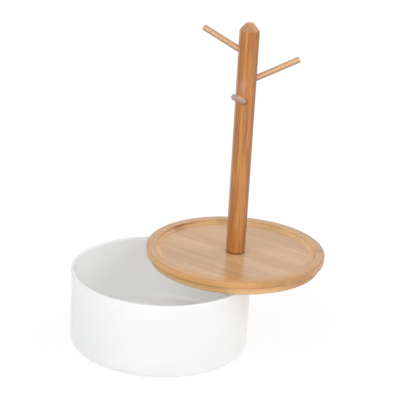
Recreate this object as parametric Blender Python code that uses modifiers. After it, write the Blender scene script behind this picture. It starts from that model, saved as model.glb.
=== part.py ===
"""Earring stand: a white ceramic bowl, a round two-layer bamboo lid whose upper disc is a shallow tray, and
an eight-sided bamboo post with three slanting pegs that is screwed to the lid. The lid lies across the
bowl's rim, slid to one side. Metres, +Z up, with the origin at the centre of the bowl's underside."""

import math

import bmesh
import bpy

# Gap left between two faces that touch, such as the lid and the rim it rests on
FIT_GAP = 0.0003

# Bowl: a straight wall, a round lip, and a generous radius at the foot
BOWL_DIAMETER = 0.150
BOWL_HEIGHT = 0.0644
BOWL_WALL = 0.0026
BOWL_FLOOR = 0.0045
BOWL_LIP_RADIUS = 0.0012
BOWL_CORNER_RADIUS = 0.0069
BOWL_INNER_FILLET = 0.0075

# Where the lid lies: its centre's distance and direction from the bowl's axis
LID_SLID_BY = 0.0668
LID_SLID_TOWARDS = math.radians(23.9)

# Upper disc of the lid, which stands out a little past the bowl, with a coved recess inside its flat rim
TRAY_OVERHANG = 0.0006
TRAY_THICKNESS = 0.0056
TRAY_RIM_WIDTH = 0.0080
TRAY_RECESS_DEPTH = 0.0036
TRAY_COVE_RADIUS = 0.0028
TRAY_OUTER_EDGE_RADIUS = 0.0015
TRAY_INNER_EDGE_RADIUS = 0.0005
TRAY_LOWER_EDGE_RADIUS = 0.0004

# Lower disc of the lid, which drops inside the bowl's wall when the lid is closed
LID_BASE_THICKNESS = 0.0061
LID_BASE_CLEARANCE = 0.0005
LID_BASE_EDGE_RADIUS = 0.0006

# Post: a regular octagon in section, cut to a blunt pyramid at the top
POST_SIDES = 8
POST_ACROSS_FLATS = 0.0154
POST_LENGTH = 0.1962
POST_TIP_LENGTH = 0.0061
POST_TIP_ACROSS_FLATS = 0.0060
POST_EDGE_BEVEL = 0.0003
POST_FLAT_FACES = math.radians(-79.5)

# Pegs: plain dowels glued into blind holes that slant up and away from the post. Each is placed by how far
# below the post's tip its axis crosses the post's, by the way it points, and by its tilt above horizontal.
PEG_DIAMETER = 0.0050
PEG_REACH = 0.0487
PEG_PAST_AXIS = 0.0013
PEG_END_CHAMFER = 0.0005
PEG_HOLE_CLEARANCE = 0.0002
PEG_UPPER_LEFT_BELOW_TIP = 0.0259
PEG_UPPER_LEFT_AZIMUTH = math.radians(141.4)
PEG_UPPER_LEFT_TILT = math.radians(16.8)
PEG_RIGHT_BELOW_TIP = 0.0487
PEG_RIGHT_AZIMUTH = math.radians(21.0)
PEG_RIGHT_TILT = math.radians(20.7)
PEG_FRONT_BELOW_TIP = 0.0657
PEG_FRONT_AZIMUTH = math.radians(-102.8)
PEG_FRONT_TILT = math.radians(19.1)

# Countersunk wood screw that holds the post to both discs from below
SCREW_DIAMETER = 0.0040
SCREW_HEAD_DIAMETER = 0.0080
SCREW_LENGTH = 0.0350
SCREW_POINT_LENGTH = 0.0050
SCREW_SUNK_BY = 0.0003
SCREW_HOLE_CLEARANCE = 0.0003
SCREW_CROSS_WIDTH = 0.0012
SCREW_CROSS_SPAN = 0.0044
SCREW_CROSS_DEPTH = 0.0015

# Faces round a full turn, and along a quarter-circle edge
TURN_STEPS = 96
DOWEL_STEPS = 24
ARC_STEPS = 5
FINE_ARC_STEPS = 3
MERGE_DISTANCE = 0.00001


def clear_scene():
    for obj in list(bpy.data.objects):
        bpy.data.objects.remove(obj, do_unlink=True)


def new_collection(name):
    collection = bpy.data.collections.new(name)
    bpy.context.scene.collection.children.link(collection)
    return collection


def new_material(name, color, roughness, metallic=0.0):
    material = bpy.data.materials.new(name)
    material.use_nodes = True
    shader = material.node_tree.nodes["Principled BSDF"]
    shader.inputs["Base Color"].default_value = (*color, 1.0)
    shader.inputs["Roughness"].default_value = roughness
    shader.inputs["Metallic"].default_value = metallic
    material.diffuse_color = (*color, 1.0)
    return material


def place(obj, collection, parent=None, location=(0.0, 0.0, 0.0), rotation=(0.0, 0.0, 0.0)):
    collection.objects.link(obj)
    obj.parent = parent
    obj.location = location
    obj.rotation_euler = rotation
    return obj


def as_cutter(obj):
    obj.hide_render = True
    obj.display_type = "WIRE"
    return obj


def cut(obj, cutter):
    boolean = obj.modifiers.new("Cut " + cutter.name, "BOOLEAN")
    boolean.operation = "DIFFERENCE"
    boolean.object = cutter


def arc(center_radius, center_height, radius, start, end, steps=ARC_STEPS):
    """Points (radius, height) along an arc of a turned profile, its angles in degrees from +X towards +Z."""
    points = []
    for step in range(steps + 1):
        angle = math.radians(start + (end - start) * step / steps)
        points.append((center_radius + radius * math.cos(angle), center_height + radius * math.sin(angle)))
    return points


def turned(name, profile, closed=False, steps=TURN_STEPS):
    """A solid turned about Z from (radius, height) points that run down its outer side. A closed profile
    leaves a hole along the axis; an open one starts and ends on the axis."""
    mesh = bpy.data.meshes.new(name)
    edges = [(index, index + 1) for index in range(len(profile) - 1)]
    if closed:
        edges.append((len(profile) - 1, 0))
    mesh.from_pydata([(radius, 0.0, height) for radius, height in profile], edges, [])
    obj = bpy.data.objects.new(name, mesh)
    screw = obj.modifiers.new("Turn", "SCREW")
    screw.axis = "Z"
    screw.steps = steps
    screw.render_steps = steps
    screw.use_merge_vertices = True
    screw.merge_threshold = MERGE_DISTANCE
    return obj


def cylinder(name, radius, low, high, steps=DOWEL_STEPS):
    """A cylinder about Z between two heights."""
    shape = bmesh.new()
    bmesh.ops.create_cone(
        shape, cap_ends=True, segments=steps, radius1=radius, radius2=radius, depth=high - low
    )
    bmesh.ops.translate(shape, verts=shape.verts, vec=(0.0, 0.0, (low + high) / 2))
    return finished_shape(name, shape)


def finished_shape(name, shape):
    mesh = bpy.data.meshes.new(name)
    shape.to_mesh(mesh)
    shape.free()
    return bpy.data.objects.new(name, mesh)


def bevel_edges(obj, width, segments=1, angle=30.0):
    bevel = obj.modifiers.new("Edges", "BEVEL")
    bevel.width = width
    bevel.segments = segments
    bevel.limit_method = "ANGLE"
    bevel.angle_limit = math.radians(angle)


def bowl_profile():
    outer = BOWL_DIAMETER / 2
    inner = outer - BOWL_WALL
    lip = min(BOWL_LIP_RADIUS, BOWL_WALL / 2 - FIT_GAP / 2)
    lip_center = BOWL_HEIGHT - lip
    fillet_center = BOWL_FLOOR + BOWL_INNER_FILLET
    points = [(0.0, BOWL_FLOOR)]
    points += arc(inner - BOWL_INNER_FILLET, fillet_center, BOWL_INNER_FILLET, -90, 0)
    points += arc(inner + lip, lip_center, lip, 180, 90, FINE_ARC_STEPS)
    points += arc(outer - lip, lip_center, lip, 90, 0, FINE_ARC_STEPS)
    points += arc(outer - BOWL_CORNER_RADIUS, BOWL_CORNER_RADIUS, BOWL_CORNER_RADIUS, 0, -90)
    points.append((0.0, 0.0))
    return points


def tray_profile():
    """The lid's upper disc: rounded outer edge, underside, screw hole, floor, cove and the rim's flat top."""
    outer = BOWL_DIAMETER / 2 + TRAY_OVERHANG
    hole = SCREW_DIAMETER / 2 + SCREW_HOLE_CLEARANCE
    floor = TRAY_THICKNESS - TRAY_RECESS_DEPTH
    wall = outer - TRAY_RIM_WIDTH
    edge = TRAY_INNER_EDGE_RADIUS
    cove = min(TRAY_COVE_RADIUS, TRAY_RECESS_DEPTH - edge)
    points = arc(
        outer - TRAY_OUTER_EDGE_RADIUS, TRAY_THICKNESS - TRAY_OUTER_EDGE_RADIUS, TRAY_OUTER_EDGE_RADIUS, 90, 0
    )
    points += arc(
        outer - TRAY_LOWER_EDGE_RADIUS, TRAY_LOWER_EDGE_RADIUS, TRAY_LOWER_EDGE_RADIUS, 0, -90, FINE_ARC_STEPS
    )
    points += [(hole, 0.0), (hole, floor)]
    points += arc(wall - cove, floor + cove, cove, -90, 0)
    points += arc(wall + edge, TRAY_THICKNESS - edge, edge, 180, 90, FINE_ARC_STEPS)
    return points


def lid_base_profile():
    """The lid's lower disc, with the countersunk screw hole at its centre."""
    outer = BOWL_DIAMETER / 2 - BOWL_WALL - LID_BASE_CLEARANCE
    edge = LID_BASE_EDGE_RADIUS
    hole = SCREW_DIAMETER / 2 + SCREW_HOLE_CLEARANCE
    countersink = SCREW_HEAD_DIAMETER / 2 + SCREW_HOLE_CLEARANCE
    points = arc(outer - edge, LID_BASE_THICKNESS - edge, edge, 90, 0, FINE_ARC_STEPS)
    points += arc(outer - edge, edge, edge, 0, -90, FINE_ARC_STEPS)
    points += [
        (countersink, 0.0),
        (countersink, SCREW_SUNK_BY),
        (hole, SCREW_SUNK_BY + countersink - hole),
        (hole, LID_BASE_THICKNESS),
    ]
    return points


def screw_profile():
    """From the point down to the flat of the head, with the head's cone at 45 degrees."""
    shank = SCREW_DIAMETER / 2
    head = SCREW_HEAD_DIAMETER / 2
    return [
        (0.0, SCREW_LENGTH),
        (shank, SCREW_LENGTH - SCREW_POINT_LENGTH),
        (shank, head - shank),
        (head, 0.0),
        (0.0, 0.0),
    ]


def screw_cross_bar(name, width, span):
    """One of the two crossed bars that cut the driver recess into the head's flat face."""
    shape = bmesh.new()
    bmesh.ops.create_cube(shape, size=1.0)
    bmesh.ops.scale(shape, verts=shape.verts, vec=(width, span, 2 * SCREW_CROSS_DEPTH))
    return finished_shape(name, shape)


def octagonal_post():
    """A prism whose first flat faces 22.5 degrees from +X, with its upper end drawn in to a small flat."""
    corner = POST_ACROSS_FLATS / 2 / math.cos(math.pi / POST_SIDES)
    shoulder = POST_LENGTH - POST_TIP_LENGTH
    draw_in = POST_TIP_ACROSS_FLATS / POST_ACROSS_FLATS
    shape = bmesh.new()
    bmesh.ops.create_cone(
        shape, cap_ends=True, segments=POST_SIDES, radius1=corner, radius2=corner, depth=shoulder
    )
    bmesh.ops.translate(shape, verts=shape.verts, vec=(0.0, 0.0, shoulder / 2))
    top = max(shape.faces, key=lambda face: face.calc_center_median().z)
    raised = bmesh.ops.extrude_discrete_faces(shape, faces=[top])
    bmesh.ops.translate(shape, verts=raised["faces"][0].verts, vec=(0.0, 0.0, POST_TIP_LENGTH))
    bmesh.ops.scale(shape, verts=raised["faces"][0].verts, vec=(draw_in, draw_in, 1.0))
    return finished_shape("post", shape)


def pilot_hole_profile():
    radius = SCREW_DIAMETER / 2 + SCREW_HOLE_CLEARANCE
    return [
        (0.0, SCREW_LENGTH + SCREW_HOLE_CLEARANCE),
        (radius, SCREW_LENGTH + SCREW_HOLE_CLEARANCE - radius),
        (radius, 0.0),
        (0.0, 0.0),
    ]


def shade_round(obj):
    """Makes the piece a plain mesh, so that its round faces shade smooth and its true edges stay sharp."""
    bpy.context.view_layer.update()
    evaluated = obj.evaluated_get(bpy.context.evaluated_depsgraph_get())
    mesh = bpy.data.meshes.new_from_object(evaluated)
    mesh.name = obj.name
    obj.modifiers.clear()
    obj.data = mesh
    mesh.shade_smooth()
    mesh.set_sharp_from_angle(angle=math.radians(32.0))


def build_bowl(parts):
    bowl = place(turned("bowl", bowl_profile()), parts)
    bowl.data.materials.append(new_material("bowl_glaze", (0.86, 0.87, 0.87), 0.12))
    return bowl


def build_lid(parts, cutters):
    """The lid's pieces hang on one empty, on the line along which the lid lifts off the bowl."""
    lid = bpy.data.objects.new("lid", None)
    slid_x = LID_SLID_BY * math.cos(LID_SLID_TOWARDS)
    slid_y = LID_SLID_BY * math.sin(LID_SLID_TOWARDS)
    place(lid, parts, location=(slid_x, slid_y, BOWL_HEIGHT + FIT_GAP))

    base = place(turned("lid_base", lid_base_profile(), closed=True), parts, lid)
    base.data.materials.append(new_material("lid_base_bamboo", (0.62, 0.40, 0.21), 0.35))

    tray_height = LID_BASE_THICKNESS + FIT_GAP
    tray = turned("lid_tray", tray_profile(), closed=True)
    place(tray, parts, lid, (0.0, 0.0, tray_height))
    tray.data.materials.append(new_material("lid_tray_bamboo", (0.66, 0.45, 0.27), 0.28))

    foot = tray_height + TRAY_THICKNESS - TRAY_RECESS_DEPTH + FIT_GAP
    screw = build_screw(parts, cutters, lid)
    post = build_post(parts, cutters, lid, foot)
    pegs = build_pegs(parts, cutters, lid, post, foot)
    return [base, tray, screw, post, *pegs]


def build_screw(parts, cutters, lid):
    screw = turned("post_screw", screw_profile(), steps=DOWEL_STEPS)
    place(screw, parts, lid, (0.0, 0.0, SCREW_SUNK_BY))
    bars = (
        screw_cross_bar("screw_cross_x", SCREW_CROSS_SPAN, SCREW_CROSS_WIDTH),
        screw_cross_bar("screw_cross_y", SCREW_CROSS_WIDTH, SCREW_CROSS_SPAN),
    )
    for bar in bars:
        cut(screw, as_cutter(place(bar, cutters, lid, (0.0, 0.0, SCREW_SUNK_BY))))
    screw.data.materials.append(new_material("screw_steel", (0.60, 0.60, 0.58), 0.35, 1.0))
    return screw


def build_post(parts, cutters, lid, foot):
    post = octagonal_post()
    half_side = math.pi / POST_SIDES
    place(post, parts, lid, (0.0, 0.0, foot), (0.0, 0.0, POST_FLAT_FACES - half_side))
    bevel_edges(post, POST_EDGE_BEVEL, segments=2, angle=20.0)
    pilot = turned("pilot_hole", pilot_hole_profile(), steps=DOWEL_STEPS)
    cut(post, as_cutter(place(pilot, cutters, lid, (0.0, 0.0, SCREW_SUNK_BY))))
    post.data.materials.append(new_material("post_bamboo", (0.56, 0.27, 0.10), 0.30))
    return post


def build_pegs(parts, cutters, lid, post, foot):
    """Each peg's origin is where its own axis crosses the post's, and its hole is cut from the same place."""
    bamboo = new_material("peg_bamboo", (0.62, 0.42, 0.25), 0.40)
    rows = (
        ("peg_upper_left", PEG_UPPER_LEFT_BELOW_TIP, PEG_UPPER_LEFT_AZIMUTH, PEG_UPPER_LEFT_TILT),
        ("peg_right", PEG_RIGHT_BELOW_TIP, PEG_RIGHT_AZIMUTH, PEG_RIGHT_TILT),
        ("peg_front", PEG_FRONT_BELOW_TIP, PEG_FRONT_AZIMUTH, PEG_FRONT_TILT),
    )
    pegs = []
    for name, below_tip, azimuth, tilt in rows:
        location = (0.0, 0.0, foot + POST_LENGTH - below_tip)
        rotation = (0.0, math.pi / 2 - tilt, azimuth)
        peg = cylinder(name, PEG_DIAMETER / 2, -PEG_PAST_AXIS, PEG_REACH)
        place(peg, parts, lid, location, rotation)
        bevel_edges(peg, PEG_END_CHAMFER, segments=2)
        peg.data.materials.append(bamboo)
        hole = cylinder(
            name + "_hole", PEG_DIAMETER / 2 + PEG_HOLE_CLEARANCE, -PEG_PAST_AXIS - FIT_GAP, PEG_REACH
        )
        cut(post, as_cutter(place(hole, cutters, lid, location, rotation)))
        pegs.append(peg)
    return pegs


def build_earring_stand():
    clear_scene()
    parts = new_collection("earring_stand")
    cutters = new_collection("cutters")
    bowl = build_bowl(parts)
    for piece in (bowl, *build_lid(parts, cutters)):
        shade_round(piece)


build_earring_stand()
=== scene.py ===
import math

import bmesh
import bpy
from mathutils import Matrix, Vector


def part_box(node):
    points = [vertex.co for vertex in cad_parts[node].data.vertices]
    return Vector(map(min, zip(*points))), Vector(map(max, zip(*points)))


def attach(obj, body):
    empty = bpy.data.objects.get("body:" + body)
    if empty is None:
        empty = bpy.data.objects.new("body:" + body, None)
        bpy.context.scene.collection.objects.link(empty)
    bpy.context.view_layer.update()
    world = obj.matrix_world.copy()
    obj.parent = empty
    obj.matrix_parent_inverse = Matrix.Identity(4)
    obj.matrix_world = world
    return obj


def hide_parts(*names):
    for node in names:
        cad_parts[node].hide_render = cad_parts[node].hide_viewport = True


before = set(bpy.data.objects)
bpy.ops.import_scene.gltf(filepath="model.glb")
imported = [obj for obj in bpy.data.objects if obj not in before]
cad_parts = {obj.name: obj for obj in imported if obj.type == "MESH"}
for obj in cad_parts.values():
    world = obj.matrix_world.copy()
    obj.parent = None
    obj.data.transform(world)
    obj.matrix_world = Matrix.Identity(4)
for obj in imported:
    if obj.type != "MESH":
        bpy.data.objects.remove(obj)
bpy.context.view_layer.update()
bowlLow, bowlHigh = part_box("bowl")
trayLow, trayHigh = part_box("lid_tray")
baseLow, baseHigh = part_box("lid_base")
postLow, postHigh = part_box("post")
lidCentre = (trayLow + trayHigh) / 2
print("frame loaded:", len(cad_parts), "pieces")


# a value in a node tree, so that sums on sockets read as sums
class Value:
    def __init__(self, nodes, socket):
        self.nodes = nodes
        self.socket = socket

    def maths(self, operation, first, second):
        return self.nodes.node("ShaderNodeMath", {"operation": operation}, {0: first, 1: second})

    def __add__(self, other):
        return self.maths("ADD", self, other)

    def __radd__(self, other):
        return self.maths("ADD", other, self)

    def __sub__(self, other):
        return self.maths("SUBTRACT", self, other)

    def __rsub__(self, other):
        return self.maths("SUBTRACT", other, self)

    def __mul__(self, other):
        return self.maths("MULTIPLY", self, other)

    def __rmul__(self, other):
        return self.maths("MULTIPLY", other, self)

    def __truediv__(self, other):
        return self.maths("DIVIDE", self, other)

    def __rtruediv__(self, other):
        return self.maths("DIVIDE", other, self)

    def __mod__(self, other):
        return self.maths("FLOORED_MODULO", self, other)

    def __rmod__(self, other):
        return self.maths("FLOORED_MODULO", other, self)


# a node tree that grows one node at a time: type, then settings, then sockets
class Nodes:
    def __init__(self, tree):
        self.tree = tree

    def node(self, kind, settings=None, sockets=None, out=0):
        made = self.tree.nodes.new(kind)
        for key, setting in (settings or {}).items():
            setattr(made, key, setting)
        for key, given in (sockets or {}).items():
            if isinstance(given, Value):
                self.tree.links.new(given.socket, made.inputs[key])
            else:
                made.inputs[key].default_value = given
        return Value(self, made.outputs[out]) if made.outputs else None

    def twin(self, value, out):
        # another output of the node that a value comes from
        return Value(self, value.socket.node.outputs[out])

    def function(self, operation, value):
        return self.node("ShaderNodeMath", {"operation": operation}, {0: value})

    def part(self, vector, letter):
        return self.node("ShaderNodeSeparateXYZ", None, {0: vector}, out=letter)


# a material in the making, with what the finishes share
class Finish(Nodes):
    def __init__(self, name):
        self.material = bpy.data.materials.new(name)
        self.material.use_nodes = True
        super().__init__(self.material.node_tree)
        self.tree.nodes.clear()

    def place(self, centre=(0, 0, 0), turn=0.0):
        # metres on the piece, from a centre, with X and Y turned by that many degrees
        return self.node("ShaderNodeMapping", {"vector_type": "TEXTURE"}, {
            "Vector": self.node("ShaderNodeTexCoord", out="Object"),
            "Location": centre, "Rotation": (0, 0, math.radians(turn))})

    def moved(self, place, offset):
        return self.node("ShaderNodeVectorMath", {"operation": "ADD"}, {0: place, 1: offset})

    def stretched(self, place, scale):
        return self.node("ShaderNodeVectorMath", {"operation": "MULTIPLY"}, {0: place, 1: scale})

    def length(self, place):
        return self.node("ShaderNodeVectorMath", {"operation": "LENGTH"}, {0: place}, out="Value")

    def fromAxis(self, place):
        return self.length(self.stretched(place, (1, 1, 0)))

    def noise(self, place, scale, detail=2.0, roughness=0.5):
        # scale is how many patches fit in a metre along X, Y and Z
        return self.node("ShaderNodeTexNoise", None, {
            "Vector": self.stretched(place, scale), "Scale": 1.0,
            "Detail": detail, "Roughness": roughness})

    def chance(self, number, seed):
        # a steady random value from 0 to 1 for each whole number
        return self.node("ShaderNodeTexWhiteNoise", {"noise_dimensions": "1D"}, {"W": number + seed})

    def rise(self, value, low, high):
        # 0 below low and 1 above high, with soft ends
        return self.node("ShaderNodeMapRange", {"interpolation_type": "SMOOTHSTEP"},
                         {"Value": value, "From Min": low, "From Max": high})

    def fall(self, value, low, high):
        # 1 below low and 0 above high
        return 1.0 - self.rise(value, low, high)

    def mix(self, factor, first, second):
        return self.node("ShaderNodeMix", {"data_type": "RGBA"},
                         {0: factor, 6: first, 7: second}, out=2)

    def bump(self, height, distance, strength):
        return self.node("ShaderNodeBump", None,
                         {"Height": height, "Distance": distance, "Strength": strength})

    def surface(self, sockets):
        self.node("ShaderNodeOutputMaterial", None,
                  {"Surface": self.node("ShaderNodeBsdfPrincipled", None, sockets)})
        return self.material


def tone(red, green, blue):
    # a colour as a paint program writes it, 0 to 255, made linear for the shader
    shares = [channel / 255 for channel in (red, green, blue)]
    return (*[share / 12.92 if share <= 0.04045 else ((share + 0.055) / 1.055) ** 2.4
              for share in shares], 1.0)


# camera
photoView = {
    "lens": 117.13,
    "at": (0.0288, -0.9992, 0.4848),
    "pitchDown": 19.70,
    "roll": 3.14,
}


def setUpCamera(view):
    data = bpy.data.cameras.new("photoCamera")
    data.sensor_width = 36.0
    data.lens = view["lens"]
    data.clip_start = 0.01
    camera = bpy.data.objects.new("photoCamera", data)
    bpy.context.scene.collection.objects.link(camera)
    tipped = Matrix.Rotation(math.radians(90 - view["pitchDown"]), 4, "X")
    rolled = Matrix.Rotation(math.radians(view["roll"]), 4, "Z")
    camera.matrix_world = Matrix.Translation(view["at"]) @ tipped @ rolled
    bpy.context.scene.camera = camera
    print("camera set")


setUpCamera(photoView)


# floor and light: each lamp's strength is the share of full white that it gives a face turned to it
studio = {
    "ambient": 0.10,
    "floorSize": 8.0,
    "floorTone": tone(250, 250, 250),
    "shadowGlow": 0.90,  # how white the floor is to the camera beside the bowl, before its shadow
    "shadowReach": (0.16, 0.42),  # how far out the floor starts to whiten, and where it is all white
    "aim": (0.03, 0.0, 0.08),
    "distance": 1.6,
    "lampSize": 1.7,
    "lamps": {
        "leftLamp": {"azimuth": -150, "elevation": 48, "strength": 0.118},
        "frontLeftLamp": {"azimuth": -120, "elevation": 48, "strength": 0.37},
        "frontLamp": {"azimuth": -60, "elevation": 30, "strength": 0.262},
        "rightLamp": {"azimuth": 0, "elevation": 48, "strength": 0.117},
        "lowRightLamp": {"azimuth": 30, "elevation": 30, "strength": 0.227},
        "backRightLamp": {"azimuth": 30, "elevation": 48, "strength": 0.226},
        "backLamp": {"azimuth": 120, "elevation": 48, "strength": 0.241},
    },
    "bounces": 10,  # a white bowl passes light on many times
}


def eyeRays(nodes):
    # 1 for what the camera, a mirror-like face or glass looks at, and 0 for light on its way to a surface
    rays = nodes.node("ShaderNodeLightPath", out="Is Camera Ray")
    return rays + nodes.twin(rays, "Is Glossy Ray") + nodes.twin(rays, "Is Transmission Ray")


def setUpFloor(values):
    finish = Finish("paleFloor")
    away = finish.length(finish.place())
    glow = finish.rise(away, *values["shadowReach"]) * (1.0 - values["shadowGlow"]) + values["shadowGlow"]
    lit = finish.node("ShaderNodeBsdfDiffuse", None, {"Color": values["floorTone"]})
    white = finish.node("ShaderNodeEmission", None, {"Color": (1, 1, 1, 1), "Strength": 1.0})
    both = finish.node("ShaderNodeMixShader", None, {0: eyeRays(finish) * glow, 1: lit, 2: white})
    finish.node("ShaderNodeOutputMaterial", None, {"Surface": both})
    shape = bmesh.new()
    bmesh.ops.create_grid(shape, x_segments=2, y_segments=2, size=values["floorSize"] / 2)
    bmesh.ops.translate(shape, verts=shape.verts, vec=(0, 0, bowlLow.z))
    mesh = bpy.data.meshes.new("paleFloor")
    shape.to_mesh(mesh)
    shape.free()
    mesh.materials.append(finish.material)
    floor = bpy.data.objects.new("paleFloor", mesh)
    bpy.context.scene.collection.objects.link(floor)


def setUpWorld(values):
    world = bpy.data.worlds.new("studio")
    bpy.context.scene.world = world
    world.use_nodes = True
    world.node_tree.nodes.clear()
    nodes = Nodes(world.node_tree)
    strength = eyeRays(nodes) * (1.0 - values["ambient"]) + values["ambient"]
    sky = nodes.node("ShaderNodeBackground", None, {"Color": (1, 1, 1, 1), "Strength": strength})
    nodes.node("ShaderNodeOutputWorld", None, {"Surface": sky})
    world.cycles.sampling_method = "NONE"  # so that gloss sees the white room in full


def setUpLamps(values):
    for name, lamp in values["lamps"].items():
        data = bpy.data.lights.new(name, "AREA")
        data.shape = "DISK"
        data.size = values["lampSize"]
        reach = values["distance"] ** 2 + (data.size / 2) ** 2
        data.energy = math.pi ** 2 * reach * lamp["strength"]
        holder = bpy.data.objects.new(name, data)
        bpy.context.scene.collection.objects.link(holder)
        turned = Matrix.Rotation(math.radians(lamp["azimuth"] + 90), 4, "Z")
        tipped = Matrix.Rotation(math.radians(90 - lamp["elevation"]), 4, "X")
        drawnBack = Matrix.Translation((0, 0, values["distance"]))
        holder.matrix_world = Matrix.Translation(values["aim"]) @ turned @ tipped @ drawnBack


setUpFloor(studio)
setUpWorld(studio)
setUpLamps(studio)
bpy.context.scene.view_settings.view_transform = "Standard"
bpy.context.scene.cycles.diffuse_bounces = studio["bounces"]
print("floor and lights set")


# Geometry Nodes: a tree with named inputs, and what it makes as a plain mesh
meshValues = {
    "shortEdge": 0.000001,  # an edge shorter than this is taken out
    "mergeWithin": 0.000005,  # points this close become one, which closes seams and poles
    "sharpAngle": 35.0,  # an edge with a greater turn, in degrees, stays crisp
}


def newTree(name, inputs):
    tree = bpy.data.node_groups.new(name, "GeometryNodeTree")
    tree.interface.new_socket("Geometry", in_out="INPUT", socket_type="NodeSocketGeometry")
    for title, kind, start in inputs:
        socket = tree.interface.new_socket(title, in_out="INPUT", socket_type=kind)
        if start is not None:
            socket.default_value = start
    tree.interface.new_socket("Geometry", in_out="OUTPUT", socket_type="NodeSocketGeometry")
    nodes = Nodes(tree)
    asked = {item.name: nodes.node("NodeGroupInput", out=item.name)
             for item in tree.interface.items_tree if item.in_out == "INPUT"}
    return nodes, asked


def endTree(nodes, geometry, finish):
    real = nodes.node("GeometryNodeRealizeInstances", None, {"Geometry": geometry})
    painted = nodes.node("GeometryNodeSetMaterial", None, {"Geometry": real, "Material": finish})
    nodes.node("NodeGroupOutput", None, {"Geometry": painted})
    return nodes.tree


def grown(name, seedMesh, tree, values, move=(0, 0, 0)):
    piece = bpy.data.objects.new(name, seedMesh)
    bpy.context.scene.collection.objects.link(piece)
    modifier = piece.modifiers.new("Growing", "NODES")
    modifier.node_group = tree
    for item in tree.interface.items_tree:
        if item.in_out == "INPUT" and item.name in values:
            modifier[item.identifier] = values[item.name]
    bpy.context.view_layer.update()
    made = bpy.data.meshes.new_from_object(piece.evaluated_get(bpy.context.evaluated_depsgraph_get()))
    made.name = name
    made.transform(Matrix.Translation(move))
    piece.modifiers.clear()
    piece.data = made
    return piece


def smoothed(piece):
    shape = bmesh.new()
    shape.from_mesh(piece.data)
    bmesh.ops.dissolve_degenerate(shape, dist=meshValues["shortEdge"], edges=shape.edges)
    bmesh.ops.recalc_face_normals(shape, faces=shape.faces)
    shape.to_mesh(piece.data)
    shape.free()
    piece.data.shade_smooth()
    piece.data.set_sharp_from_angle(angle=math.radians(meshValues["sharpAngle"]))


# turned pieces: a profile line, its corners rounded, swept round the axis
def turningTree():
    nodes, asked = newTree("turnedPiece", (
        ("Steps Round", "NodeSocketInt", 192), ("Corner Steps", "NodeSocketInt", 8),
        ("Closed Profile", "NodeSocketInt", 0), ("Finish", "NodeSocketMaterial", None)))
    rounding = nodes.node("GeometryNodeInputNamedAttribute", {"data_type": "FLOAT"}, {"Name": "rounding"})
    line = nodes.node("GeometryNodeMeshToCurve", None, {"Mesh": asked["Geometry"]})
    rounded = nodes.node("GeometryNodeFilletCurve", {"mode": "POLY"}, {
        "Curve": line, "Count": asked["Corner Steps"], "Radius": rounding, "Limit Radius": True})
    dots = nodes.node("GeometryNodeCurveToPoints", {"mode": "EVALUATED"}, {"Curve": rounded})
    count = nodes.node("GeometryNodeAttributeDomainSize", {"component": "POINTCLOUD"},
                       {"Geometry": dots}, out="Point Count")
    column = count + asked["Closed Profile"]  # a closed profile comes back to its first point
    grid = nodes.node("GeometryNodeMeshGrid", None, {
        "Vertices X": asked["Steps Round"] + 1.0, "Vertices Y": column})
    index = nodes.node("GeometryNodeInputIndex")
    angle = nodes.function("FLOOR", index / column) / asked["Steps Round"] * (2 * math.pi)
    dot = nodes.node("GeometryNodeSampleIndex", {"data_type": "FLOAT_VECTOR"}, {
        "Geometry": dots, "Value": nodes.node("GeometryNodeInputPosition"),
        "Index": index % column % count})
    reach = nodes.part(dot, "X")
    spot = nodes.node("ShaderNodeCombineXYZ", None, {
        "X": reach * nodes.function("COSINE", angle), "Y": reach * nodes.function("SINE", angle),
        "Z": nodes.part(dot, "Z")})
    swept = nodes.node("GeometryNodeSetPosition", None, {"Geometry": grid, "Position": spot})
    closed = nodes.node("GeometryNodeMergeByDistance", None, {
        "Geometry": swept, "Distance": meshValues["mergeWithin"]})
    return endTree(nodes, closed, asked["Finish"])


turning = turningTree()


def turnedPiece(name, corners, move, finish, closed=False, cornerSteps=8):
    # each corner is its radius, its height and how far it is rounded
    profile = bpy.data.meshes.new(name)
    edges = [(index, index + 1) for index in range(len(corners) - 1)]
    if closed:
        edges.append((len(corners) - 1, 0))
    profile.from_pydata([(radius, 0, height) for radius, height, rounding in corners], edges, [])
    roundings = [rounding for radius, height, rounding in corners]
    profile.attributes.new("rounding", "FLOAT", "POINT").data.foreach_set("value", roundings)
    piece = grown(name, profile, turning, {
        "Corner Steps": cornerSteps, "Closed Profile": int(closed), "Finish": finish}, move)
    smoothed(piece)
    return piece


# bowl
bowlValues = {
    "wall": 0.0026,
    "floor": 0.0045,
    "lip": 0.0012,
    "corner": 0.0069,
    "fillet": 0.0075,
    "footRing": 0.0034,
    "footRecess": 0.0009,
    "footEdge": 0.0004,
    "throughLight": 0.6,  # fine china glows a little through its wall
    "throughDepth": 0.0030,
    "throughTint": (1.0, 0.98, 0.95),
    "glaze": tone(248, 248, 248),
    "pooled": tone(244, 245, 245),
    # a cooler white for the inner side: painted cool light against the warm light that the bamboo lid bounces
    # into the bowl
    "inside": tone(247, 251, 253),
    "insideEnds": (0.0002, 0.0010),  # how far into the wall that tone starts to fade, and has gone
    "lipShade": tone(215, 216, 216),  # painted shade over the lip, which dims the light and gloss on it
    "lipShadeBand": (0.0008, 0.0001),  # how far below the top the painted shade starts, and where it is darkest
    "lipInside": (0.0006, 0.0012),  # how far into the wall the lip counts as its inner side
    "lipLower": (0.0004, 0.0001),  # how much lower the band lies there
    "clay": tone(222, 214, 202),
    "clayGrain": tone(204, 194, 180),
    "clayHeight": (0.00025, 0.00055),  # the foot ring stands on bare clay
    "roughness": 0.08,
    "clayRoughness": 0.6,
}


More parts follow.
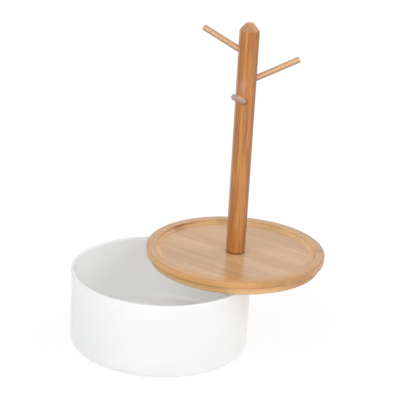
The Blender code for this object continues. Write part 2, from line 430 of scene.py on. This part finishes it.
def glazeFinish(values):
    finish = Finish("whiteGlaze")
    place = finish.place()
    height = finish.part(place, "Z")
    away = finish.fromAxis(place)
    waves = finish.noise(place, (24, 24, 40), detail=1.0)
    specks = finish.noise(place, (1300, 1300, 1300), detail=1.0)
    grit = finish.noise(place, (2600, 2600, 2600))
    innerWall = (bowlHigh.x - bowlLow.x) / 2 - values["wall"]
    outside = finish.rise(away, *[innerWall + depth for depth in values["insideEnds"]])
    innerSide = finish.fall(away, *[innerWall + depth for depth in values["lipInside"]])
    lipShadeBand = [bowlHigh.z - depth - innerSide * lower
               for depth, lower in zip(values["lipShadeBand"], values["lipLower"])]
    shade = finish.mix(finish.rise(waves, 0.30, 0.70), values["glaze"], values["pooled"])
    shade = finish.mix(outside, values["inside"], shade)
    # painted shade over the lip
    shade = finish.mix(finish.rise(height, *lipShadeBand), shade, values["lipShade"])
    bare = finish.fall(height, *values["clayHeight"])
    shade = finish.mix(bare, shade, finish.mix(grit, values["clay"], values["clayGrain"]))
    dulled = finish.rise(specks, 0.35, 0.75) * 0.03
    return finish.surface({
        "Base Color": shade,
        "Roughness": dulled + values["roughness"] + bare * values["clayRoughness"],
        "IOR": 1.5,
        "Subsurface Weight": values["throughLight"],
        "Subsurface Radius": values["throughTint"],
        "Subsurface Scale": values["throughDepth"],
        "Normal": finish.bump(waves + bare * grit * 0.4, distance=0.0005, strength=0.30),
    })


def makeBowl(values):
    outer = (bowlHigh.x - bowlLow.x) / 2
    inner = outer - values["wall"]
    top = bowlHigh.z - bowlLow.z
    ring = outer - values["corner"] - values["footRing"]
    recess = values["footRecess"]
    corners = [
        (0, values["floor"], 0), (inner, values["floor"], values["fillet"]),
        (inner, top, values["lip"]), (outer, top, values["lip"]), (outer, 0, values["corner"]),
        (ring, 0, values["footEdge"]), (ring - recess, recess, values["footEdge"]), (0, recess, 0),
    ]
    bowl = turnedPiece("bowlShell", corners, (0, 0, bowlLow.z), glazeFinish(values), cornerSteps=12)
    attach(bowl, "bowl")
    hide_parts("bowl")
    print("bowl made")


makeBowl(bowlValues)


# lid: the two bamboo discs
lidValues = {
    "rimWidth": 0.0080,
    "rimFlat": 0.0024,  # past that the rim's top falls gently outwards
    "rimFall": 0.0002,
    "rimRounding": 0.030,
    "recess": 0.0036,
    "cove": 0.0030,
    "outerEdge": 0.0015,
    "innerEdge": 0.0009,
    "lowerEdge": 0.0004,
    "baseEdge": 0.0006,
    "screwHole": 0.0023,
    "countersink": 0.0043,
    "screwSunk": 0.0003,
    "roughness": 0.17,
    "grainTurn": -36.0,  # which way the boards run, in degrees from X
    "grainShift": 0.0,
    "boardWidth": 0.0452,
    "stripWidth": 0.0068,
    "boardStart": 0.12,  # where the first board and the first strip begin, in widths of each
    "stripStart": 0.31,
    "boardSeed": 8.4,
    "stripSeed": 3.7,
    "seam": 0.045,  # how far a glue line reaches into its strip, in widths of the strip
    "scales": {  # along, across and through the boards
        "drift": (9, 60, 60), "streaks": (16, 520, 520),
        "fibre": (70, 2100, 2100), "pores": (190, 3200, 3200),
    },
    "footShadowInside": 0.0076,  # from the lid's centre: where the painted shadow at the post's foot begins to fade, and where the cove, the rim and the outer wall begin
    "coveInside": 0.0646,  # and where the cove, the rim and the outer wall begin
    "rimInside": 0.0677,
    "wallInside": 0.0750,
    "footShadowWidth": 0.0012,
    "partSoft": 0.0006,  # how far rim and wall take to begin
    "coveSoft": 0.0020,
    "nearRim": (0.0180, 0.0020),  # inwards from the rim: where its tone begins on the floor, and is full
    "coveUpright": (0.0012, 0.0003),  # the same for the painted light on the cove's steep part
    "edgeWidth": 0.0012,  # the painted shade along the rounded edge between rim and wall
    "edgeWiderBehind": 0.0016,
    "edgeSoft": 0.0008,
    "lowShadeBand": (0.0003, 0.0013),  # from the disc's underside: where the painted shade on the wall is darkest, and where that ends
    "wallCover": 0.75,  # how much of the wall's own tone covers the boards
    "cover": {  # how much each other tone covers what is under it
        "streak": 0.42, "pale": 0.42, "fibre": 0.30, "pore": 0.40, "seam": 0.16,
        "rim": 0.36, "nearRim": 0.14, "edge": 0.15, "edgeRight": 0.30, "edgeEnds": 0.25,
        "cove": 0.75, "coveWallPaintedLight": 0.85, "endGrain": 0.75, "low": 0.40, "footShadow": 0.50,
    },
    "spots": (  # darker patches: on cove or rim, middle, reach, tone and strength
        ("cove", (-0.0490, 0.0450), 0.0100, tone(146, 90, 46), 0.75),
        ("cove", (-0.0110, 0.0655), 0.0085, tone(172, 132, 94), 0.65),
        ("cove", (0.0262, 0.0616), 0.0240, tone(190, 148, 96), 0.55),
        ("rim", (0.0710, 0.0010), 0.0070, tone(146, 106, 74), 0.60),
    ),
    "base": {  # what is otherwise on the lower disc, which has no cove or rim
        "roughness": 0.24, "grainTurn": -18.0, "grainShift": 0.011,
        "coveInside": 0.090, "rimInside": 0.090, "wallInside": 0.0711, "wallCover": 0.92,
    },
    "baseTones": {
        # painted light: the lower disc's far left is lighter, against the shadow under the tray's overhang
        "wallLeftPaintedLight": tone(254, 204, 140), "wall": tone(247, 197, 134),
        # the lower disc's end tones: end grain, darkened further as painted shade for its right end, which lies
        # in shade under the tray
        "endGrain": tone(210, 162, 108), "endPith": tone(192, 146, 94),
    },
}

lidTones = {
    "dark": tone(178, 139, 99),
    "light": tone(202, 163, 121),
    "streak": tone(156, 112, 72),
    "pore": tone(126, 82, 46),
    "pale": tone(216, 182, 142),
    # painted light: the wall's far left is lighter, against the shade that falls on it there
    "wallLeftPaintedLight": tone(250, 192, 124),
    "wall": tone(228, 169, 106),
    # painted shade for the rounded edge between rim and wall, and for the wall's lowest band
    "edgeShade": tone(150, 100, 60),
    "cove": tone(214, 171, 117),
    # painted light: a lighter tone for the cove's steep wall, which takes less light than the flat parts
    "coveWallPaintedLight": tone(240, 199, 142),
    "rimFront": tone(190, 130, 58),
    "rimBack": tone(172, 134, 94),
    # painted shadow round the post's foot
    "footShadow": tone(140, 90, 44),
    "endGrain": tone(203, 155, 99),
    "endPith": tone(184, 138, 87),
}


def layBoards(finish, place, values, tones):
    # boards run along X: each shades from dark to light across, and is glued up from narrow strips
    scales = values["scales"]
    cover = values["cover"]
    across = finish.part(place, "Y") + values["grainShift"]
    board = across / values["boardWidth"] + values["boardStart"]
    strip = across / values["stripWidth"] + values["stripStart"]
    ownBoard = finish.chance(finish.function("FLOOR", board), values["boardSeed"])
    ownStrip = finish.chance(finish.function("FLOOR", strip), values["stripSeed"])
    inBoard = board % 1.0
    inStrip = strip % 1.0
    drift = finish.noise(place, scales["drift"])
    streaks = finish.noise(place, scales["streaks"], detail=3.0, roughness=0.6)
    fibre = finish.noise(place, scales["fibre"], roughness=0.6)
    pores = finish.rise(finish.noise(place, scales["pores"], detail=1.0), 0.63, 0.72)
    offSeam = finish.rise(inStrip, 0.0, values["seam"]) * finish.rise(1.0 - inStrip, 0.0, values["seam"])
    seam = 1.0 - offSeam
    level = inBoard * 0.45 + ownBoard * 0.12 + ownStrip * 0.22 + drift * 0.30 - 0.05
    shade = finish.mix(finish.rise(level, 0.0, 1.0), tones["dark"], tones["light"])
    shade = finish.mix(finish.rise(streaks, 0.50, 0.72) * cover["streak"], shade, tones["streak"])
    shade = finish.mix(finish.rise(1.0 - streaks, 0.54, 0.74) * cover["pale"], shade, tones["pale"])
    shade = finish.mix(finish.rise(fibre, 0.50, 0.74) * cover["fibre"], shade, tones["streak"])
    shade = finish.mix(pores * cover["pore"] + seam * cover["seam"], shade, tones["pore"])
    relief = fibre * 0.5 - pores * 0.5 - seam * 0.5 + drift * 0.6
    return shade, relief, ownStrip, streaks, fibre


def lidBamboo(name, values, tones, centre):
    finish = Finish(name)
    place = finish.place(centre, values["grainTurn"])
    shade, relief, ownStrip, streaks, fibre = layBoards(finish, place, values, tones)
    cover = values["cover"]

    # the lid's parts, each 1 where it is and 0 elsewhere, by the distance from the lid's centre
    rimInside = values["rimInside"]
    wallInside = values["wallInside"]
    away = finish.fromAxis(place)
    onWall = finish.rise(away, wallInside, wallInside + values["partSoft"])
    onRim = finish.rise(away, rimInside, rimInside + values["partSoft"])
    inCove = finish.rise(away, values["coveInside"] - values["coveSoft"], values["coveInside"]) * (1.0 - onRim)
    nearRim = finish.rise(away, *[rimInside - inwards for inwards in values["nearRim"]])
    upright = finish.rise(away, *[rimInside - inwards for inwards in values["coveUpright"]])
    inFootShadow = finish.fall(away, values["footShadowInside"], values["footShadowInside"] + values["footShadowWidth"])
    low = finish.fall(finish.part(place, "Z"), *values["lowShadeBand"])

    # ways from the lid's centre, along the boards, backwards and rightwards, by what share of the distance
    unturned = finish.place(centre)
    endOn = finish.rise(finish.function("ABSOLUTE", finish.part(place, "X")) / away, 0.68, 0.98)
    facing = finish.part(unturned, "Y") / away
    sideways = finish.rise(finish.part(unturned, "X") / away, -0.9, -0.2)
    rightwards = finish.part(unturned, "X") + finish.part(unturned, "Y") * 0.35
    toRight = finish.rise(rightwards / away, 0.2, 0.6)

    # walls take a warmer tone where they follow the strips, and a duller one where they cut across their ends
    endOnWall = endOn * (sideways * 0.6 + 0.4)
    rimTone = finish.mix(finish.rise(facing, -1.0, 0.3), tones["rimFront"], tones["rimBack"])
    shade = finish.mix(onRim * cover["rim"] + nearRim * cover["nearRim"], shade, rimTone)
    # painted light on the wall's far left, against the shade there
    wallTone = finish.mix(sideways, tones["wallLeftPaintedLight"], tones["wall"])
    shade = finish.mix(onWall * (1.0 - endOnWall) * values["wallCover"], shade, wallTone)
    # painted shade along the rounded edge between rim and wall, stronger to the right and where the strips end:
    # it dims the highlight on the rounding
    edgeStart = wallInside - values["edgeWidth"] - finish.rise(facing, 0.0, 0.7) * values["edgeWiderBehind"]
    onEdge = finish.rise(away, edgeStart, edgeStart + values["edgeSoft"]) * (1.0 - onWall)
    wearAndEdgeShade = toRight * cover["edgeRight"] + endOn * sideways * cover["edgeEnds"] + cover["edge"]
    shade = finish.mix(onEdge * wearAndEdgeShade, shade, tones["edgeShade"])
    shade = finish.mix(inCove * (1.0 - endOn) * cover["cove"], shade, tones["cove"])
    # painted light on the cove's steep wall
    shade = finish.mix(upright * inCove * (1.0 - endOn) * cover["coveWallPaintedLight"], shade, tones["coveWallPaintedLight"])
    # end grain where the strips end; in the cove and on the lower disc's right end it is darkened further as
    # painted shade
    endTone = finish.mix(finish.rise(ownStrip, 0.2, 0.8), tones["endGrain"], tones["endPith"])
    shade = finish.mix((onWall * endOnWall + inCove * endOn) * cover["endGrain"], shade, endTone)
    # painted shade on the wall's lowest band: a painted shadow line under the upper disc, and shade at the
    # lower disc's bottom edge
    shade = finish.mix(onWall * low * cover["low"], shade, tones["edgeShade"])

    for part, middle, reach, tint, strength in values["spots"]:
        onPart = {"cove": inCove, "rim": onRim}[part]
        fromSpot = finish.length(finish.moved(unturned, (-middle[0], -middle[1], centre[2] - trayHigh.z)))
        spot = finish.fall(fromSpot / reach + streaks * 0.5, 0.5, 1.3)  # the streaks fray its outline
        shade = finish.mix(spot * onPart * strength, shade, tint)
    # painted shadow in a ring round the post's foot
    shade = finish.mix(inFootShadow * cover["footShadow"], shade, tones["footShadow"])
    return finish.surface({
        "Base Color": shade,
        "Roughness": values["roughness"] + fibre * 0.09 + (onWall + inCove) * 0.14 + onEdge * 0.30,
        "IOR": 1.5,
        "Normal": finish.bump(relief, distance=0.00010, strength=0.35),
    })


def makeTray(values):
    outer = (trayHigh.x - trayLow.x) / 2
    thick = trayHigh.z - trayLow.z
    floor = thick - values["recess"]
    wall = outer - values["rimWidth"]
    hole = values["screwHole"]
    corners = [
        (wall, thick, values["innerEdge"]), (wall + values["rimFlat"], thick, values["rimRounding"]),
        (outer, thick - values["rimFall"], values["outerEdge"]), (outer, 0, values["lowerEdge"]),
        (hole, 0, 0), (hole, floor, 0), (wall, floor, values["cove"]),
    ]
    centre = (lidCentre.x, lidCentre.y, trayLow.z)
    finish = lidBamboo("trayBamboo", values, lidTones, centre)
    tray = turnedPiece("bambooTray", corners, centre, finish, closed=True)
    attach(tray, "lid")
    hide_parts("lid_tray")
    print("tray made")


def makeLidBase(values):
    outer = (baseHigh.x - baseLow.x) / 2
    thick = baseHigh.z - baseLow.z
    hole = values["screwHole"]
    mouth = values["countersink"]
    sunk = values["screwSunk"]
    corners = [
        (outer, thick, values["baseEdge"]), (outer, 0, values["baseEdge"]), (mouth, 0, 0),
        (mouth, sunk, 0), (hole, sunk + mouth - hole, 0), (hole, thick, 0),
    ]
    centre = (lidCentre.x, lidCentre.y, baseLow.z)
    finish = lidBamboo("baseBamboo", {**values, **values["base"]}, {**lidTones, **values["baseTones"]}, centre)
    base = turnedPiece("bambooBase", corners, centre, finish, closed=True)
    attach(base, "lid")
    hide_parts("lid_base")
    print("lid base made")


makeTray(lidValues)
makeLidBase(lidValues)


# post: the imported octagon keeps its shape and takes a warmer bamboo, with painted shade on its side faces
postValues = {
    "frontFlat": -79.5,  # the azimuth that its front flat looks to
    "sideShades": {  # painted shade on the side faces: which side of the middle, how far out it begins and its tone
        "left": (-1.0, 0.0046, tone(180, 117, 59)),
        "right": (1.0, 0.0039, tone(150, 90, 40)),
    },
    "sideShadeSoft": 0.0002,
    "grainShift": 2.1,  # which stretch of the bamboo's pattern the post shows
    "scales": {  # across, through and up the post
        "drift": (190, 190, 17), "streaks": (760, 760, 26), "fibre": (2100, 2100, 70),
    },
    "dark": tone(178, 108, 50),
    "light": tone(210, 144, 76),
    "streak": tone(146, 80, 32),
    "pale": tone(220, 160, 90),
    # painted shadow at the post's foot
    "footShadow": tone(130, 76, 32),
    "footShadowHeight": (0.0006, 0.0022),  # above the foot: up to where the painted shadow is darkest, and where it ends
    "tip": tone(164, 124, 92),  # the tip cuts across the fibres, so it is duller
    "tipHeight": 0.0061,
    "tipSoft": (0.0002, 0.0003),
    "cover": {"sideShade": 0.70, "streak": 0.50, "pale": 0.60, "fibre": 0.40, "footShadow": 0.65, "tip": 0.55},
    "marksFace": (-0.006, -0.004),  # marks are full in front of the first depth, and end at the second
    "marks": {  # middle (across, height), reach (across, height), tone and strength
        "wearAndEdgeShade": ((-0.0040, 0.2188), (0.0040, 0.0092), tone(198, 156, 132), 0.55),
        "knot": ((-0.0003, 0.2060), (0.0014, 0.0042), tone(128, 58, 28), 0.60),
    },
}


def finishPost(values):
    finish = Finish("postBamboo")
    scales = values["scales"]
    cover = values["cover"]
    place = finish.place((lidCentre.x, lidCentre.y, 0), values["frontFlat"] + 90)
    across = finish.part(place, "X")
    height = finish.part(place, "Z")
    grain = finish.moved(place, (0, 0, values["grainShift"]))
    drift = finish.noise(grain, scales["drift"])
    streaks = finish.noise(grain, scales["streaks"], detail=3.0, roughness=0.6)
    fibre = finish.noise(place, scales["fibre"], roughness=0.6)
    shade = finish.mix(finish.rise(drift, 0.30, 0.70), values["dark"], values["light"])
    # painted shade on the post's left and right faces, darker on the right
    for side, start, tint in values["sideShades"].values():
        onSideShade = finish.rise(across * side, start - values["sideShadeSoft"], start + values["sideShadeSoft"])
        shade = finish.mix(onSideShade * cover["sideShade"], shade, tint)
    shade = finish.mix(finish.rise(streaks, 0.50, 0.66) * cover["streak"], shade, values["streak"])
    shade = finish.mix(finish.rise(1.0 - streaks, 0.54, 0.70) * cover["pale"], shade, values["pale"])
    shade = finish.mix(finish.rise(fibre, 0.55, 0.78) * cover["fibre"], shade, values["streak"])
    # painted shadow along the post's foot
    onFootShadow = finish.fall(height, *[postLow.z + above for above in values["footShadowHeight"]])
    shade = finish.mix(onFootShadow * cover["footShadow"], shade, values["footShadow"])
    tipStart = postHigh.z - values["tipHeight"]
    onTip = finish.rise(height, tipStart - values["tipSoft"][0], tipStart + values["tipSoft"][1])
    shade = finish.mix(onTip * cover["tip"], shade, values["tip"])
    onFront = finish.fall(finish.part(place, "Y"), *values["marksFace"])
    for middle, reach, tint, strength in values["marks"].values():
        fromMiddle = finish.moved(place, (-middle[0], 0, -middle[1]))
        reached = finish.length(finish.stretched(fromMiddle, (1 / reach[0], 0, 1 / reach[1])))
        mark = finish.fall(reached + streaks * 1.6, 1.1, 1.7)
        shade = finish.mix(mark * onFront * strength, shade, tint)
    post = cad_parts["post"]
    post.data.materials.clear()
    post.data.materials.append(finish.surface({
        "Base Color": shade,
        "Roughness": 0.26 + fibre * 0.14 + onTip * 0.20,
        "IOR": 1.5,
        "Normal": finish.bump(fibre * 0.5 + streaks, distance=0.00012, strength=0.4),
    }))
    print("post finished")


finishPost(postValues)


# pegs: one dowel, set on each of the three packed pegs' own lines
pegValues = {
    "sides": 40,
    "endRounding": 0.0005,
    "light": tone(228, 182, 138),
    "dark": tone(206, 158, 112),
    # painted shade for the peg's upper and lower sides
    "pegSideShade": tone(168, 128, 94),
    "streak": tone(176, 130, 90),
    "endGrain": tone(170, 136, 108),
    "weathered": tone(184, 154, 140),
    "weatheredStreak": tone(150, 120, 106),
    "weatheredEnd": tone(190, 170, 162),
    "pore": tone(104, 70, 46),
    "scales": {"streaks": (1.7, 1.7, 0.6), "fibre": (4.5, 4.5, 1.3), "pores": (11, 11, 0)},
    "grainShift": 7.0,  # a weathered peg shows another stretch of the pattern
    "pegSideShadeFrom": (0.34, 0.62),  # shares of the radius: where the painted shade on the peg's upper and lower sides begins, and is full
    "cutFrom": (0.992, 0.998),  # shares of the length: where the cut end's tone begins, and is full
    "cover": {"pegSideShade": 0.85, "fibre": 0.30, "weathered": 0.85, "weatheredEnd": 0.9, "cut": 0.6, "pore": 0.6},
    "pegs": {"peg_upper_left": 0.1, "peg_right": 0.0, "peg_front": 1.0},  # how weathered each one is
}
pegNotes = {"aim": "FLOAT_VECTOR", "pegLength": "FLOAT", "pegRadius": "FLOAT", "weathering": "FLOAT"}


def pegLine(node):
    # the peg's two ends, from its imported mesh: the longest way through its points
    points = [vertex.co.copy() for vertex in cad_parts[node].data.vertices]
    middle = sum(points, Vector()) / len(points)
    far = max(points, key=lambda point: (point - middle).length)
    axis = (far - middle).normalized()
    for _ in range(12):  # each turn brings it nearer to the axis
        axis = sum(((point - middle) * (point - middle).dot(axis) for point in points), Vector()).normalized()
    reach = [(point - middle).dot(axis) for point in points]
    ends = [middle + axis * min(reach), middle + axis * max(reach)]
    postAxis = Vector((lidCentre.x, lidCentre.y, 0))
    ends.sort(key=lambda end: (Vector((end.x, end.y, 0)) - postAxis).length)
    radius = max((point - middle - axis * (point - middle).dot(axis)).length for point in points)
    return ends[0], ends[1], radius


def pegTree():
    nodes, asked = newTree("pegSet", (
        ("Sides", "NodeSocketInt", 40), ("Finish", "NodeSocketMaterial", None)))
    asks = {name: nodes.node("GeometryNodeInputNamedAttribute", {"data_type": kind}, {"Name": name})
            for name, kind in pegNotes.items()}
    dowel = nodes.node("GeometryNodeMeshCylinder", {"fill_type": "NGON"}, {
        "Vertices": asked["Sides"], "Side Segments": 24, "Fill Segments": 6, "Radius": 1.0, "Depth": 1.0})
    lifted = nodes.node("GeometryNodeTransform", None, {"Geometry": dowel, "Translation": (0, 0, 0.5)})
    aimed = nodes.node("FunctionNodeAlignEulerToVector", {"axis": "Z"}, {"Vector": asks["aim"]})
    facing = nodes.node("FunctionNodeAlignEulerToVector", {"axis": "X", "pivot_axis": "Z"}, {
        "Rotation": aimed, "Vector": (0, 0.34, 0.94)})  # the painted shade lies on each peg's upper and lower sides
    size = nodes.node("ShaderNodeCombineXYZ", None, {
        "X": asks["pegRadius"], "Y": asks["pegRadius"], "Z": asks["pegLength"]})
    noted = nodes.node("GeometryNodeStoreNamedAttribute", {"data_type": "FLOAT_VECTOR", "domain": "POINT"}, {
        "Geometry": lifted, "Name": "alongPeg", "Value": nodes.node("GeometryNodeInputPosition")})
    placed = nodes.node("GeometryNodeInstanceOnPoints", None, {
        "Points": asked["Geometry"], "Instance": noted, "Rotation": facing, "Scale": size})
    toned = nodes.node("GeometryNodeStoreNamedAttribute", {"data_type": "FLOAT", "domain": "INSTANCE"}, {
        "Geometry": placed, "Name": "weathered", "Value": asks["weathering"]})
    return endTree(nodes, toned, asked["Finish"])


def pegFinish(values):
    finish = Finish("pegBamboo")
    scales = values["scales"]
    cover = values["cover"]
    along = finish.node("ShaderNodeAttribute", {"attribute_name": "alongPeg"}, out="Vector")
    weathered = finish.node("ShaderNodeAttribute", {"attribute_name": "weathered"}, out="Fac")
    own = weathered * values["grainShift"]
    inGrain = finish.moved(along, finish.node("ShaderNodeCombineXYZ", None, {"X": own, "Y": own, "Z": 0.0}))
    streaks = finish.noise(inGrain, scales["streaks"])
    fibre = finish.noise(inGrain, scales["fibre"], detail=1.0)
    pores = finish.rise(finish.noise(along, scales["pores"], detail=1.0), 0.56, 0.66)
    pegSideShade = finish.rise(finish.function("ABSOLUTE", finish.part(along, "X")), *values["pegSideShadeFrom"])
    cutEnd = finish.rise(finish.part(along, "Z"), *values["cutFrom"])
    shade = finish.mix(finish.rise(streaks, 0.30, 0.70), values["dark"], values["light"])
    # painted shade on the peg's upper and lower sides
    shade = finish.mix(pegSideShade * cover["pegSideShade"], shade, values["pegSideShade"])
    shade = finish.mix(finish.rise(fibre, 0.55, 0.78) * cover["fibre"], shade, values["streak"])
    wearAndEdgeShade = finish.mix(finish.rise(fibre, 0.40, 0.65), values["weathered"], values["weatheredStreak"])
    shade = finish.mix(weathered * cover["weathered"], shade, wearAndEdgeShade)
    endTone = finish.mix(weathered * cover["weatheredEnd"], values["endGrain"], values["weatheredEnd"])
    shade = finish.mix(cutEnd * cover["cut"], shade, endTone)
    shade = finish.mix(cutEnd * pores * cover["pore"], shade, values["pore"])
    return finish.surface({
        "Base Color": shade,
        "Roughness": 0.36 + fibre * 0.16 + cutEnd * 0.2 + weathered * 0.2,
        "IOR": 1.5,
        "Normal": finish.bump(fibre * 0.6 + streaks * 0.4, distance=0.00008, strength=0.4),
    })


def roundEnds(piece, width):
    # the dowels' rims, softened after the tree has made them plain mesh; the cut faces stay flat
    shape = bmesh.new()
    shape.from_mesh(piece.data)
    rims = [edge for edge in shape.edges
            if len(edge.link_faces) == 2 and edge.calc_face_angle(0) > math.radians(60)]
    bmesh.ops.bevel(shape, geom=rims, offset=width, segments=3, profile=0.5, affect="EDGES", material=-1)
    shape.to_mesh(piece.data)
    shape.free()


def makePegs(values):
    lines = {node: pegLine(node) for node in values["pegs"]}
    seeds = bpy.data.meshes.new("pegs")
    seeds.from_pydata([start for start, end, radius in lines.values()], [], [])
    for name, kind in pegNotes.items():
        seeds.attributes.new(name, kind, "POINT")
    for index, (node, (start, end, radius)) in enumerate(lines.items()):
        seeds.attributes["aim"].data[index].vector = (end - start).normalized()
        seeds.attributes["pegLength"].data[index].value = (end - start).length
        seeds.attributes["pegRadius"].data[index].value = radius
        seeds.attributes["weathering"].data[index].value = values["pegs"][node]
    pegs = grown("pegs", seeds, pegTree(), {"Sides": values["sides"], "Finish": pegFinish(values)})
    roundEnds(pegs, values["endRounding"])
    smoothed(pegs)
    cutEdges = {key for face in pegs.data.polygons if len(face.vertices) > 4 for key in face.edge_keys}
    for edge in pegs.data.edges:
        edge.use_edge_sharp = edge.use_edge_sharp or edge.key in cutEdges
    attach(pegs, "lid")
    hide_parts(*values["pegs"])
    print("pegs made")


makePegs(pegValues)


# screw: zinc plated, seen only from under the lid
screwValues = {
    "bright": tone(206, 206, 202),
    "dull": tone(170, 171, 170),
    "scales": {"bloom": (900, 900, 900), "lathe": (400, 400, 9000)},
}


def finishScrew(values):
    finish = Finish("zincSteel")
    place = finish.place((lidCentre.x, lidCentre.y, 0))
    bloom = finish.noise(place, values["scales"]["bloom"], detail=3.0)
    lathe = finish.noise(place, values["scales"]["lathe"])
    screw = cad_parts["post_screw"]
    screw.data.materials.clear()
    screw.data.materials.append(finish.surface({
        "Base Color": finish.mix(bloom, values["dull"], values["bright"]),
        "Metallic": 1.0,
        "Roughness": 0.22 + bloom * 0.18,
        "Normal": finish.bump(lathe, distance=0.00003, strength=0.4),
    }))
    print("screw finished")


finishScrew(screwValues)
